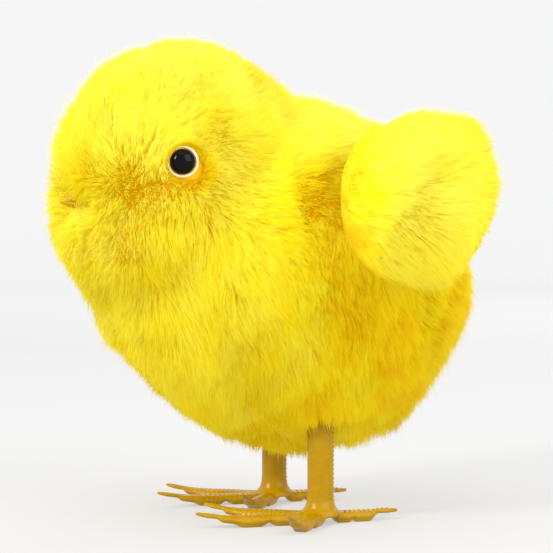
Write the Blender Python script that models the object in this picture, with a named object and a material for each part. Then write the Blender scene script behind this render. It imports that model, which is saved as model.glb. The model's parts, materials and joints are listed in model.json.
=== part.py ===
"""Wind-up hopping chick: a plush bird on two moulded plastic feet, with a clockwork motor inside.

Lengths below are in millimetres and are scaled to metres when a mesh is made. +Z is up, the bird
faces -Y and its left side is +X. The origin is on the floor, under the middle of the bird.
"""

import math

import bmesh
import bpy
from mathutils import Matrix, Vector

MM = 0.001
GAP = 0.3

# Plush envelope: three ellipsoids (centre, radii) joined by a soft maximum seen from CORE.
CORE = Vector((0.0, -6.0, 58.0))
BODY_CENTRE, BODY_RADII = Vector((0.0, 5.0, 48.8)), Vector((34.0, 40.5, 36.2))
HEAD_CENTRE, HEAD_RADII = Vector((0.0, -18.8, 73.0)), Vector((25.5, 24.4, 25.2))
CHEST_CENTRE, CHEST_RADII = Vector((0.0, -20.3, 60.5)), Vector((27.5, 24.6, 21.5))
BLEND_POWER = 18.0
OUTER_GRID, INNER_GRID = (24, 36), (16, 26)
DIMPLE_DEPTH, DIMPLE_WIDTH, DIMPLE_HEIGHT = 6.5, 5.5, 5.0

# Layers, measured inwards along a ray from the plush envelope.
COVER_DEPTH = 9.0
SHELL_OUTER_DEPTH = 9.4
SHELL_INNER_DEPTH = 11.0

# Face.
EYE_CENTRE = Vector((22.7, -22.5, 71.6))
EYE_TURN = math.radians(12.0)
EYE_RADIUS, EYE_SHANK_RADIUS, EYE_SHANK_LENGTH = 2.45, 1.0, 9.0
EYE_RIM_RADIUS, EYE_RIM_BORE, EYE_RIM_THICKNESS = 3.1, 2.55, 1.0
EYE_POCKET_RADIUS, EYE_HOLE_RADIUS = 3.5, 1.3
BEAK_HEIGHT, BEAK_BASE_Y, BEAK_TIP_Y = 64.6, -36.2, -41.6
BEAK_HALF_WIDTH, BEAK_HALF_HEIGHT = 2.7, 2.2
BEAK_STEM_RADIUS, BEAK_STEM_LENGTH = 1.3, 5.0
BEAK_POCKET_RADIUS, BEAK_HOLE_RADIUS = 3.1, 1.6

# Wings: flat pads sewn on at their front edge.
WING_CENTRE, WING_RADII = Vector((35.0, 19.4, 64.2)), Vector((7.4, 18.6, 18.0))
WING_LEAN, WING_SWEEP = math.radians(13.0), math.radians(8.0)

# Legs and feet.
LEG_X, LEG_Y, LEG_PIVOT_Z = 15.0, 8.0, 34.0
LEG_RADIUS_X, LEG_RADIUS_Y = 2.5, 2.65
LEG_HUB_RADIUS = 3.2
TOE_TOP = 2.1
# Front toes as (heading towards +X from straight ahead, length, rise of the claw). Both feet come
# from one mould, so they aren't mirror images.
FRONT_TOES = ((52.0, 19.0, 2.4), (0.0, 26.0, 1.2), (-33.0, 24.5, 1.0))
CLAW_START = 0.62
REAR_TOE_HEADING, REAR_TOE_LENGTH = 180.0, 16.6
SLOT_HALF_WIDTH, SLOT_FRONT_Y, SLOT_REAR_Y = 3.2, 4.6, 17.2

# Motor: arbor, second axle, cam axle and leg shaft, as (y, z) in the plane of the gears.
ARBOR_YZ, SECOND_YZ, CAM_YZ = (-2.2, 50.2), (7.58, 44.15), (-1.0, 39.0)
LEG_SHAFT_YZ = (LEG_Y, LEG_PIVOT_Z)
MODULE = 0.5
GREAT_TEETH, SECOND_PINION_TEETH, SECOND_TEETH, CAM_PINION_TEETH = 36, 10, 30, 10
TOOTH_ROOT_DEPTH, TOOTH_TIP_HEIGHT = 0.65, 0.45
TOOTH_ROOT_HALF, TOOTH_TIP_HALF = 0.46, 0.16
ARBOR_RADIUS, AXLE_RADIUS, LEG_SHAFT_RADIUS = 1.5, 0.75, 1.5
RUNNING_CLEARANCE, PRESS_CLEARANCE = 0.12, 0.05
RATCHET_TEETH, RATCHET_ROOT, RATCHET_TIP = 12, 3.3, 4.3
CLICK_ANGLE, CLICK_RADIUS, CLICK_PEG_RADIUS = math.radians(200.0), 6.6, 0.5
CAM_LOW, CAM_HIGH, CAM_STEPS = 2.1, 3.6, 22

# Where each layer of the train lies along X, as (low, high).
GREAT_WHEEL_X, SECOND_PINION_X, SECOND_WHEEL_X = (-1.7, -0.2), (-2.0, 1.5), (1.3, 2.7)
CAM_PINION_X, CAM_X, RATCHET_X, CLICK_X = (1.1, 2.9), (4.5, 6.5), (-4.2, -3.2), (-4.1, -3.3)
SPRING_X, AXLE_X, GEAR_SLEEVE_X = (-9.7, -5.0), (-11.3, 11.3), (2.6, 9.8)
LEG_SHAFT_X, LEG_HUB_X = (-17.5, 17.5), (12.45, 17.6)

# Motor case: two halves that meet at x = 0.
CASE_HALF_WIDTH, CASE_WALL = 11.5, 1.2
CASE_OUTLINE = (
    (-4.0, 29.2), (13.4, 29.2), (17.6, 33.4), (17.6, 57.0), (14.0, 61.8), (-11.0, 61.8),
    (-14.2, 58.6), (-14.2, 38.5),
)
CASE_SCREWS_YZ = ((14.4, 33.8), (13.6, 57.0), (-8.6, 38.6), (-10.9, 58.5))
CASE_POST_RADIUS = 2.2
SHELL_SCREWS_YZ = ((-24.0, 80.0), (-27.0, 56.0), (26.0, 62.0), (25.0, 37.0))
SHELL_POST_RADIUS = 2.8

# Winding knob, outside the bird's right side.
KNOB_INNER_X, KNOB_STEP_X, KNOB_OUTER_X = -35.4, -38.0, -43.2
KNOB_RADIUS, KNOB_HUB_RADIUS, KNOB_LOBES, KNOB_LOBE_DEPTH = 6.0, 2.8, 14, 0.35

ROUND, COARSE = 20, 12

MATERIALS = {
    "yellow_plush": ((0.95, 0.80, 0.03), 0.95, 0.0),
    "amber_plastic": ((0.62, 0.33, 0.01), 0.35, 0.0),
    "black_plastic": ((0.005, 0.005, 0.006), 0.08, 0.0),
    "cream_plastic": ((0.80, 0.68, 0.38), 0.45, 0.0),
    "white_plastic": ((0.75, 0.75, 0.72), 0.40, 0.0),
    "steel": ((0.55, 0.55, 0.56), 0.30, 1.0),
    "nylon": ((0.78, 0.76, 0.68), 0.45, 0.0),
}


def make_material(name):
    colour, roughness, metallic = MATERIALS[name]
    material = bpy.data.materials.new(name)
    material.use_nodes = True
    shader = material.node_tree.nodes["Principled BSDF"]
    shader.inputs["Base Color"].default_value = (*colour, 1.0)
    shader.inputs["Roughness"].default_value = roughness
    shader.inputs["Metallic"].default_value = metallic
    material.diffuse_color = (*colour, 1.0)
    return material


def to_object(name, shape, pivot=(0.0, 0.0, 0.0)):
    """An object from a bmesh in millimetres, with its origin at the pivot. It frees the bmesh."""
    bmesh.ops.recalc_face_normals(shape, faces=shape.faces[:])
    bmesh.ops.translate(shape, vec=-Vector(pivot), verts=shape.verts[:])
    bmesh.ops.scale(shape, vec=(MM, MM, MM), verts=shape.verts[:])
    mesh = bpy.data.meshes.new(name)
    shape.to_mesh(mesh)
    shape.free()
    mesh.shade_smooth()
    mesh.set_sharp_from_angle(angle=math.radians(35.0))
    item = bpy.data.objects.new(name, mesh)
    item.location = Vector(pivot) * MM
    bpy.context.scene.collection.objects.link(item)
    return item


def part(name, shape, material, pivot=(0.0, 0.0, 0.0)):
    item = to_object(name, shape, pivot)
    item.data.materials.append(bpy.data.materials[material])
    return item


def change(item, tool_shape, operation):
    """A Boolean of the item with a hidden tool made from a bmesh."""
    tool = to_object(item.name + "_tool", tool_shape)
    tool.hide_render = True
    tool.display_type = "WIRE"
    modifier = item.modifiers.new(operation.title(), "BOOLEAN")
    modifier.operation = operation
    modifier.solver = "EXACT"
    modifier.object = tool
    return tool


def cut(item, tool_shape):
    change(item, tool_shape, "DIFFERENCE")


def add(item, tool_shape):
    change(item, tool_shape, "UNION")


def loft(rings):
    """A closed bmesh from rings of equally many points. A ring of one point is a pole."""
    shape = bmesh.new()
    made = [[shape.verts.new(point) for point in ring] for ring in rings]
    for first, second in zip(made, made[1:]):
        count = max(len(first), len(second))
        for i in range(count):
            j = (i + 1) % count
            if len(first) == 1:
                shape.faces.new((first[0], second[i], second[j]))
            elif len(second) == 1:
                shape.faces.new((first[i], second[0], first[j]))
            else:
                shape.faces.new((first[i], second[i], second[j], first[j]))
    for ring in (made[0], made[-1]):
        if len(ring) > 1:
            shape.faces.new(ring)
    return shape


def prism_x(outline, low, high):
    """The outline, given as (y, z) points, extruded along X."""
    return loft([[(x, y, z) for y, z in outline] for x in (low, high)])


def prism_z(outline, low, high):
    return loft([[(x, y, z) for x, y in outline] for z in (low, high)])


def box(low, high):
    outline = ((low[0], low[1]), (high[0], low[1]), (high[0], high[1]), (low[0], high[1]))
    return prism_z(outline, low[2], high[2])


def circle(centre, radius, segments):
    angles = [2.0 * math.pi * i / segments for i in range(segments)]
    return [(centre[0] + radius * math.cos(a), centre[1] + radius * math.sin(a)) for a in angles]


def rod(centre_yz, radius, low, high, segments=ROUND):
    return prism_x(circle(centre_yz, radius, segments), low, high)


def turned(centre_yz, profile, segments=ROUND):
    """A shaft along X from (x, radius) steps."""
    return loft([[(x, y, z) for y, z in circle(centre_yz, r, segments)] for x, r in profile])


def moved(shape, matrix):
    bmesh.ops.transform(shape, matrix=matrix, verts=shape.verts[:])
    return shape


# ---------------------------------------------------------------- plush envelope


def ellipsoid_reach(direction, centre, radii):
    """How far a ray from CORE along the direction runs before it leaves the ellipsoid."""
    start = Vector((a / r for a, r in zip(CORE - centre, radii)))
    step = Vector((a / r for a, r in zip(direction, radii)))
    a, b, c = step.dot(step), start.dot(step), start.dot(start) - 1.0
    return (-b + math.sqrt(b * b - a * c)) / a


def envelope_reach(direction):
    reaches = (
        ellipsoid_reach(direction, BODY_CENTRE, BODY_RADII),
        ellipsoid_reach(direction, HEAD_CENTRE, HEAD_RADII),
        ellipsoid_reach(direction, CHEST_CENTRE, CHEST_RADII),
    )
    return sum(reach**BLEND_POWER for reach in reaches) ** (1.0 / BLEND_POWER)


def beak_dimple(point):
    """How deep the pile parts round the beak."""
    if point.y > CORE.y:
        return 0.0
    across, up = point.x / DIMPLE_WIDTH, (point.z - BEAK_HEIGHT) / DIMPLE_HEIGHT
    return DIMPLE_DEPTH * math.exp(-across * across - up * up)


def envelope(depth, grid=INNER_GRID):
    """The closed surface that lies this deep inside the tips of the pile."""
    ring_count, segments = grid
    rings = []
    for i in range(ring_count + 1):
        tilt = math.pi * i / ring_count
        flat = math.sin(tilt)
        ring = []
        for j in range(1 if i in (0, ring_count) else segments):
            turn = 2.0 * math.pi * (j + 0.5) / segments
            direction = Vector((flat * math.cos(turn), flat * math.sin(turn), math.cos(tilt)))
            direction.normalize()
            point = CORE + direction * (envelope_reach(direction) - depth)
            if depth == 0.0:
                point -= direction * beak_dimple(point)
            ring.append(point)
        rings.append(ring)
    return loft(rings)


# ---------------------------------------------------------------- shared cutters


def eye_frame(side):
    """Local +X is the way the eye looks."""
    turn = Matrix.Rotation(-EYE_TURN, 4, "Z")
    frame = Matrix.Translation(EYE_CENTRE) @ turn
    if side > 0:
        return frame
    return Matrix.Scale(-1.0, 4, (1.0, 0.0, 0.0)) @ frame


def eye_bore(side, radius, low, high):
    return moved(rod((0.0, 0.0), radius, low, high, COARSE), eye_frame(side))


def beak_bore(radius, low, high):
    outline = circle((0.0, BEAK_HEIGHT), radius, COARSE)
    return loft([[(x, y, z) for x, z in outline] for y in (low, high)])


def leg_slot(side):
    """The opening that a leg swings in: half a circle at each end."""
    outline = []
    for centre_y, start in ((SLOT_REAR_Y, 0.0), (SLOT_FRONT_Y, math.pi)):
        inward = centre_y - math.copysign(SLOT_HALF_WIDTH, centre_y - LEG_Y)
        for i in range(COARSE // 2 + 1):
            angle = start + math.pi * i / (COARSE // 2)
            x = side * LEG_X + SLOT_HALF_WIDTH * math.cos(angle)
            outline.append((x, inward + SLOT_HALF_WIDTH * math.sin(angle)))
    return prism_z(outline, 5.0, 38.0)


# ---------------------------------------------------------------- soft parts


def build_cover():
    cover = part("plush_cover", envelope(0.0, OUTER_GRID), "yellow_plush")
    cut(cover, envelope(COVER_DEPTH))
    for side in (1, -1):
        cut(cover, leg_slot(side))
        cut(cover, eye_bore(side, EYE_POCKET_RADIUS, -8.0, 12.0))
    cut(cover, beak_bore(BEAK_POCKET_RADIUS, -55.0, -31.0))
    cut(cover, rod(ARBOR_YZ, ARBOR_RADIUS + 1.0, -45.0, -18.0, COARSE))


def wing_frame(side):
    lean = Matrix.Rotation(-WING_LEAN, 4, "Y")
    sweep = Matrix.Rotation(-WING_SWEEP, 4, "Z")
    frame = Matrix.Translation(WING_CENTRE) @ sweep @ lean
    if side > 0:
        return frame
    return Matrix.Scale(-1.0, 4, (1.0, 0.0, 0.0)) @ frame


def build_wings():
    for name, side in (("left_wing", 1), ("right_wing", -1)):
        shape = bmesh.new()
        size = Matrix.Diagonal((*WING_RADII, 1.0))
        bmesh.ops.create_uvsphere(shape, u_segments=20, v_segments=12, radius=1.0)
        wing = part(name, moved(shape, wing_frame(side) @ size), "yellow_plush")
        cut(wing, envelope(-GAP, OUTER_GRID))


# ---------------------------------------------------------------- face


def build_eyes():
    for name, side in (("left_eye", 1), ("right_eye", -1)):
        frame = eye_frame(side)
        profile = [(-EYE_SHANK_LENGTH, EYE_SHANK_RADIUS), (-0.8, EYE_SHANK_RADIUS), (-0.6, 2.1)]
        steps = 6
        for i in range(steps):
            angle = 0.5 * math.pi * i / steps
            profile.append((1.7 * math.sin(angle), EYE_RADIUS * math.cos(angle)))
        rings = [[(x, y, z) for y, z in circle((0.0, 0.0), r, ROUND)] for x, r in profile]
        rings.append([(1.7, 0.0, 0.0)])
        part(name, moved(loft(rings), frame), "black_plastic")

        low = -0.9
        middle = 0.5 * (EYE_RIM_RADIUS + EYE_RIM_BORE)
        half = 0.5 * (EYE_RIM_RADIUS - EYE_RIM_BORE)
        shape = rim_shape(low, low + EYE_RIM_THICKNESS, middle, half)
        part(name + "_rim", moved(shape, frame), "cream_plastic")


def rim_shape(low, high, middle, half):
    """A ring about local X with a rounded front."""
    section = (
        (low, middle + half), (high, middle + half), (high + 0.3, middle),
        (high, middle - half), (low, middle - half),
    )
    shape = bmesh.new()
    rings = [
        [shape.verts.new((x, y, z)) for y, z in circle((0.0, 0.0), r, ROUND)] for x, r in section
    ]
    for first, second in zip(rings, rings[1:] + rings[:1]):
        for i in range(ROUND):
            j = (i + 1) % ROUND
            shape.faces.new((first[i], first[j], second[j], second[i]))
    return shape


def build_beak():
    """Two short mandibles moulded as one, with a stem that plugs into the shell."""
    length = BEAK_BASE_Y - BEAK_TIP_Y
    rings = []
    stations = ((0.0, 1.0), (0.35, 0.86), (0.65, 0.6), (0.88, 0.3), (1.0, 0.1))
    for along, size in stations:
        droop = 0.5 * along * along
        centre = BEAK_HEIGHT - droop
        ring = []
        for i in range(COARSE):
            angle = 2.0 * math.pi * (i + 0.5) / COARSE
            x = BEAK_HALF_WIDTH * size * math.cos(angle)
            z = centre + BEAK_HALF_HEIGHT * size * math.sin(angle)
            ring.append((x, BEAK_BASE_Y - length * along, z))
        rings.append(ring)
    beak = part("beak", loft(rings), "amber_plastic")
    add(beak, beak_bore(BEAK_STEM_RADIUS, BEAK_BASE_Y - 0.5, BEAK_BASE_Y + BEAK_STEM_LENGTH))
    seam = 0.2
    reach = 4.0
    for side in (1, -1):
        low_x, high_x = sorted((side * 1.2, side * reach))
        low = (low_x, BEAK_TIP_Y - 1.0, BEAK_HEIGHT - 0.5 - seam)
        cut(beak, box(low, (high_x, BEAK_BASE_Y - 2.0, BEAK_HEIGHT - 0.5 + seam)))


# ---------------------------------------------------------------- hard shell


def build_shell():
    for name, side in (("shell_left", 1), ("shell_right", -1)):
        shell = part(name, envelope(SHELL_OUTER_DEPTH), "white_plastic")
        cut(shell, envelope(SHELL_INNER_DEPTH))
        for shape in cradle_ribs(side) + shell_posts(side):
            rib = change(shell, shape, "UNION")
            change(rib, envelope(SHELL_OUTER_DEPTH + 0.2), "INTERSECT")
        low, high = sorted((side * GAP * 0.5, side * 60.0))
        change(shell, box((low, -60.0, 0.0), (high, 60.0, 120.0)), "INTERSECT")
        cut(shell, leg_slot(side))
        cut(shell, eye_bore(side, EYE_HOLE_RADIUS, -14.0, 6.0))
        cut(shell, beak_bore(BEAK_HOLE_RADIUS, -50.0, -29.0))
        for centre in SHELL_SCREWS_YZ:
            if side > 0:
                cut(shell, rod(centre, 1.0, -1.0, 7.6, COARSE))
            else:
                profile = ((-30.0, 2.2), (-5.0, 2.2), (-5.0, 1.3), (1.0, 1.3))
                cut(shell, turned(centre, profile, COARSE))
        if side < 0:
            cut(shell, rod(ARBOR_YZ, ARBOR_RADIUS + 0.7, -40.0, -14.0, COARSE))


def cradle_ribs(side):
    """Plates inside a shell half that hold the motor case below, above, in front and behind."""
    ys, zs = [y for y, z in CASE_OUTLINE], [z for y, z in CASE_OUTLINE]
    front, rear, bottom, top = min(ys), max(ys), min(zs), max(zs)
    thick = 1.8
    plates = (
        ((-3.6, bottom - 12.0), (-3.6 + thick, bottom - GAP), 26.0),
        ((-2.0, top + GAP), (4.0, top + GAP + thick), 30.0),
        ((front - GAP - thick, 44.0), (front - GAP, 56.0), 30.0),
        ((rear + GAP, 38.0), (rear + GAP + thick, 56.0), 30.0),
    )
    shapes = []
    for (low_y, low_z), (high_y, high_z), reach in plates:
        low_x, high_x = sorted((side * 0.05, side * reach))
        shapes.append(box((low_x, low_y, low_z), (high_x, high_y, high_z)))
    return shapes


def shell_posts(side):
    low, high = sorted((side * 0.05, side * 30.0))
    return [rod(centre, SHELL_POST_RADIUS, low, high, COARSE) for centre in SHELL_SCREWS_YZ]


def screw(name, centre, head_x, head_radius, head_depth, shank_radius, tip_x):
    profile = (
        (head_x - head_depth, head_radius - 0.3),
        (head_x - head_depth + 0.3, head_radius),
        (head_x, head_radius),
        (head_x, shank_radius),
        (tip_x - 1.0, shank_radius),
        (tip_x, 0.3),
    )
    item = part(name, turned(centre, profile, COARSE), "steel", (head_x, *centre))
    slot_depth = 0.4 * head_depth
    slot_half = 0.2
    for turn in (0.0, 0.5 * math.pi):
        arm = box((-1.0, -0.7 * head_radius, -slot_half), (slot_depth, 0.7 * head_radius, slot_half))
        spin = Matrix.Rotation(turn, 4, "X")
        place = Matrix.Translation((head_x - head_depth, *centre))
        cut(item, moved(arm, place @ spin))


def build_shell_screws():
    for number, centre in enumerate(SHELL_SCREWS_YZ, 1):
        screw(f"shell_screw_{number}", centre, -5.1, 1.9, 1.2, 0.88, 6.8)


# ---------------------------------------------------------------- motor case


def inset_outline(points, distance):
    """The convex outline moved inwards by the distance."""
    result = []
    count = len(points)
    for i in range(count):
        before, here, after = (Vector(points[(i + k) % count]) for k in (-1, 0, 1))
        first, second = (here - before).normalized(), (after - here).normalized()
        inward = Vector((-first.y - second.y, first.x + second.x)).normalized()
        cosine = inward.dot(Vector((-first.y, first.x)))
        result.append(tuple(here + inward * distance / cosine))
    return result


def build_case():
    hollow = inset_outline(CASE_OUTLINE, CASE_WALL)
    inner_face = CASE_HALF_WIDTH - CASE_WALL
    for name, side in (("case_left", 1), ("case_right", -1)):
        low, high = sorted((side * GAP * 0.5, side * CASE_HALF_WIDTH))
        case = part(name, prism_x(CASE_OUTLINE, low, high), "white_plastic")
        low, high = sorted((-side * 1.0, side * inner_face))
        cut(case, prism_x(hollow, low, high))
        for centre in CASE_SCREWS_YZ:
            low, high = sorted((side * GAP * 0.5, side * (inner_face + 0.5)))
            add(case, rod(centre, CASE_POST_RADIUS, low, high, COARSE))
            if side > 0:
                cut(case, rod(centre, 0.75, -1.0, 8.0, COARSE))
            else:
                head_x = -CASE_HALF_WIDTH + 1.2
                profile = ((-14.0, 1.8), (head_x, 1.8), (head_x, 0.95), (1.0, 0.95))
                cut(case, turned(centre, profile, COARSE))
        low, high = sorted((side * (inner_face - 1.0), side * 14.0))
        bores = (
            (ARBOR_YZ, ARBOR_RADIUS), (SECOND_YZ, AXLE_RADIUS), (CAM_YZ, AXLE_RADIUS),
            (LEG_SHAFT_YZ, LEG_SHAFT_RADIUS),
        )
        for centre, radius in bores:
            cut(case, rod(centre, radius + RUNNING_CLEARANCE, low, high))


def build_case_screws():
    for number, centre in enumerate(CASE_SCREWS_YZ, 1):
        head_x = -CASE_HALF_WIDTH + 1.1
        screw(f"case_screw_{number}", centre, head_x, 1.55, 0.9, 0.62, 7.4)


# ---------------------------------------------------------------- gear train


def line_angle(first, second):
    return math.atan2(second[1] - first[1], second[0] - first[0])


def gear_outline(centre, teeth, tooth_angle):
    """Straight-flanked teeth, with one centred on the tooth angle."""
    pitch_radius = 0.5 * MODULE * teeth
    root, tip = pitch_radius - TOOTH_ROOT_DEPTH, pitch_radius + TOOTH_TIP_HEIGHT
    outline = []
    for i in range(teeth):
        middle = tooth_angle + 2.0 * math.pi * i / teeth
        corners = (
            (root, -TOOTH_ROOT_HALF / root), (tip, -TOOTH_TIP_HALF / tip),
            (tip, TOOTH_TIP_HALF / tip), (root, TOOTH_ROOT_HALF / root),
        )
        for radius, offset in corners:
            angle = middle + offset
            outline.append(
                (centre[0] + radius * math.cos(angle), centre[1] + radius * math.sin(angle))
            )
    return outline


def build_great_wheel():
    """The driving wheel turns freely on the arbor and carries the click."""
    outline = gear_outline(ARBOR_YZ, GREAT_TEETH, line_angle(ARBOR_YZ, SECOND_YZ))
    wheel = part("great_wheel", prism_x(outline, *GREAT_WHEEL_X), "nylon", (0.0, *ARBOR_YZ))
    add(wheel, rod(ARBOR_YZ, 2.8, -2.4, 1.0))
    cut(wheel, rod(ARBOR_YZ, ARBOR_RADIUS + RUNNING_CLEARANCE, -5.0, 5.0))
    cut(wheel, rod(click_pivot(), CLICK_PEG_RADIUS + 0.1, -5.0, 5.0, COARSE))
    for turn in (0.5, 1.0, 1.5):
        angle = line_angle(ARBOR_YZ, click_pivot()) + turn * math.pi
        centre = (ARBOR_YZ[0] + 5.4 * math.cos(angle), ARBOR_YZ[1] + 5.4 * math.sin(angle))
        cut(wheel, rod(centre, 1.5, -5.0, 5.0, COARSE))


def click_pivot():
    return (
        ARBOR_YZ[0] + CLICK_RADIUS * math.cos(CLICK_ANGLE),
        ARBOR_YZ[1] + CLICK_RADIUS * math.sin(CLICK_ANGLE),
    )


def build_ratchet():
    outline = []
    for i in range(RATCHET_TEETH):
        start = 2.0 * math.pi * i / RATCHET_TEETH
        for radius, angle in ((RATCHET_ROOT, start), (RATCHET_TIP, start)):
            outline.append(
                (ARBOR_YZ[0] + radius * math.cos(angle), ARBOR_YZ[1] + radius * math.sin(angle))
            )
    ratchet = part("ratchet_wheel", prism_x(outline, *RATCHET_X), "steel", (0.0, *ARBOR_YZ))
    cut(ratchet, rod(ARBOR_YZ, ARBOR_RADIUS + PRESS_CLEARANCE, -6.0, 0.0))


def build_click():
    """A springy pawl with a peg in the great wheel. Its nose lies just off the ratchet teeth."""
    pivot = Vector(click_pivot())
    centre = Vector(ARBOR_YZ)
    outward = (pivot - centre).normalized()
    along = Vector((-outward.y, outward.x))
    nose = centre + (outward * math.cos(0.95) + along * math.sin(0.95)) * (RATCHET_TIP + 0.25)
    tail = pivot - along * 1.2
    outline = (
        tail - outward * 0.7, pivot - outward * 1.0, nose, nose + outward * 0.5 + along * 0.2,
        pivot + outward * 1.0, tail + outward * 0.7,
    )
    click = part("click_spring", prism_x([tuple(p) for p in outline], *CLICK_X), "steel")
    add(click, rod(click_pivot(), CLICK_PEG_RADIUS, CLICK_X[0] + 0.5, -0.3, COARSE))


def build_second_gear():
    pinion = gear_outline(
        SECOND_YZ, SECOND_PINION_TEETH,
        line_angle(ARBOR_YZ, SECOND_YZ) + math.pi + math.pi / SECOND_PINION_TEETH,
    )
    wheel = gear_outline(SECOND_YZ, SECOND_TEETH, line_angle(SECOND_YZ, CAM_YZ))
    gear = part("second_gear", prism_x(wheel, *SECOND_WHEEL_X), "nylon", (0.0, *SECOND_YZ))
    add(gear, prism_x(pinion, *SECOND_PINION_X))
    add(gear, rod(SECOND_YZ, 1.8, *GEAR_SLEEVE_X))
    cut(gear, rod(SECOND_YZ, AXLE_RADIUS + RUNNING_CLEARANCE, -12.0, 12.0, COARSE))
    part("second_axle", rod(SECOND_YZ, AXLE_RADIUS, *AXLE_X, COARSE), "steel")


def build_cam_gear():
    """A pinion and a snail cam moulded as one: the cam rises through a turn and then drops."""
    pinion = gear_outline(
        CAM_YZ, CAM_PINION_TEETH,
        line_angle(SECOND_YZ, CAM_YZ) + math.pi + math.pi / CAM_PINION_TEETH,
    )
    snail = []
    for i in range(CAM_STEPS + 1):
        share = i / CAM_STEPS
        angle = -0.5 * math.pi + 2.0 * math.pi * (share * 0.95 - 0.95)
        radius = CAM_LOW + (CAM_HIGH - CAM_LOW) * share
        snail.append((CAM_YZ[0] + radius * math.cos(angle), CAM_YZ[1] + radius * math.sin(angle)))
    gear = part("cam_gear", prism_x(pinion, *CAM_PINION_X), "nylon", (0.0, *CAM_YZ))
    add(gear, rod(CAM_YZ, 1.7, *GEAR_SLEEVE_X))
    add(gear, prism_x(snail, *CAM_X))
    cut(gear, rod(CAM_YZ, AXLE_RADIUS + RUNNING_CLEARANCE, -12.0, 12.0, COARSE))
    part("cam_axle", rod(CAM_YZ, AXLE_RADIUS, *AXLE_X, COARSE), "steel")


def build_arbor():
    profile = ((-42.0, ARBOR_RADIUS - 0.3), (KNOB_INNER_X + 0.5, ARBOR_RADIUS - 0.3))
    profile += ((KNOB_INNER_X + 0.5, ARBOR_RADIUS), (11.2, ARBOR_RADIUS))
    part("winding_arbor", turned(ARBOR_YZ, profile), "steel", (0.0, *ARBOR_YZ))


def build_mainspring():
    """A flat spiral strip between the arbor and the case wall."""
    turns, steps = 4.5, 18
    inner, outer, half = 2.1, 8.6, 0.16
    count = int(turns * steps)
    left, right = [], []
    for i in range(count + 1):
        share = i / count
        angle = 2.0 * math.pi * turns * share
        middle = inner + (outer - inner) * share
        for row, radius in ((left, middle - half), (right, middle + half)):
            row.append(
                (ARBOR_YZ[0] + radius * math.cos(angle), ARBOR_YZ[1] + radius * math.sin(angle))
            )
    rings = [
        [(SPRING_X[0], *a), (SPRING_X[1], *a), (SPRING_X[1], *b), (SPRING_X[0], *b)]
        for a, b in zip(left, right)
    ]
    part("mainspring", loft(rings), "steel", (0.0, *ARBOR_YZ))


def build_knob():
    outline = []
    points = KNOB_LOBES * 4
    for i in range(points):
        angle = 2.0 * math.pi * i / points
        radius = KNOB_RADIUS - KNOB_LOBE_DEPTH * (0.5 - 0.5 * math.cos(KNOB_LOBES * angle))
        outline.append((radius * math.cos(angle), radius * math.sin(angle)))

    def ring(x, scale):
        return [(x, ARBOR_YZ[0] + y * scale, ARBOR_YZ[1] + z * scale) for y, z in outline]

    rings = [ring(KNOB_STEP_X, 0.9), ring(KNOB_STEP_X - 0.6, 1.0)]
    rings += [ring(KNOB_OUTER_X + 0.8, 1.0), ring(KNOB_OUTER_X, 0.86)]
    knob = part("winding_knob", loft(rings), "amber_plastic", (0.0, *ARBOR_YZ))
    add(knob, rod(ARBOR_YZ, KNOB_HUB_RADIUS, KNOB_STEP_X - 0.5, KNOB_INNER_X))
    cut(knob, rod(ARBOR_YZ, ARBOR_RADIUS - 0.2, -42.1, -30.0))


# ---------------------------------------------------------------- legs


def toe_rings(length, front):
    """Sections along a toe as (distance, half width, bottom, top), claw last."""
    if front:
        pads = ((0.0, 2.3, 1.4), (2.6, 2.2, 1.3), (4.2, 2.1, 0.0), (9.4, 2.0, 0.0), (10.9, 1.8, 0.8))
        pads += ((12.3, 1.9, 0.0), (16.2, 1.8, 0.0), (17.8, 1.5, 0.7), (20.2, 1.4, 0.9))
        claw = ((21.0, 0.85, 1.5), (23.4, 0.95, 1.5), (25.5, 0.12, 1.6))
        full = 25.5
    else:
        pads = ((0.0, 2.2, 1.4), (2.2, 2.1, 1.2), (3.2, 2.0, 0.0), (5.6, 1.9, 0.0), (6.3, 1.8, 0.6))
        pads += ((7.0, 1.8, 0.0), (10.0, 1.6, 0.0), (11.0, 1.2, 1.0))
        claw = ((11.5, 0.85, 1.4), (14.0, 0.95, 1.4), (16.0, 0.12, 1.5))
        full = 16.0
    scale = length / full
    rings = []
    for distance, half, bottom in pads:
        rings.append((distance * scale, half, bottom, TOE_TOP))
    for distance, half, bottom in claw:
        rings.append((distance * scale, half, bottom, TOE_TOP + 0.1 - 0.2 * (half < 0.5)))
    return rings


def toe(side, heading, length, rise=0.0, front=True):
    angle = math.radians(heading)
    along = Vector((math.sin(angle), -math.cos(angle), 0.0))
    across = Vector((-along.y, along.x, 0.0))
    start = Vector((side * LEG_X, LEG_Y, 0.0))
    rings = []
    for distance, half, bottom, top in toe_rings(length, front):
        waist = bottom + 0.55 * (top - bottom)
        section = (
            (-half * 0.72, top), (0.0, top + 0.25), (half * 0.72, top), (half, waist),
            (half * 0.7, bottom), (-half * 0.7, bottom), (-half, waist),
        )
        bend = max(0.0, distance / length - CLAW_START) / (1.0 - CLAW_START)
        centre = start + along * distance + Vector((0.0, 0.0, rise * bend * bend))
        rings.append([centre + across * a + Vector((0.0, 0.0, b)) for a, b in section])
    return loft(rings)


def leg_column(side):
    """An oval column from the foot up to the hub, flared where it meets the toes."""
    profile = ((1.45, 1.55), (2.4, 1.5), (3.1, 1.2), (4.4, 1.04), (6.0, 1.0), (34.0, 1.0))
    rings = []
    for z, size in profile:
        outline = []
        for i in range(ROUND):
            angle = 2.0 * math.pi * i / ROUND
            x = side * LEG_X + LEG_RADIUS_X * size * math.cos(angle)
            outline.append((x, LEG_Y + LEG_RADIUS_Y * size * math.sin(angle), z))
        rings.append(outline)
    return loft(rings)


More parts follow.
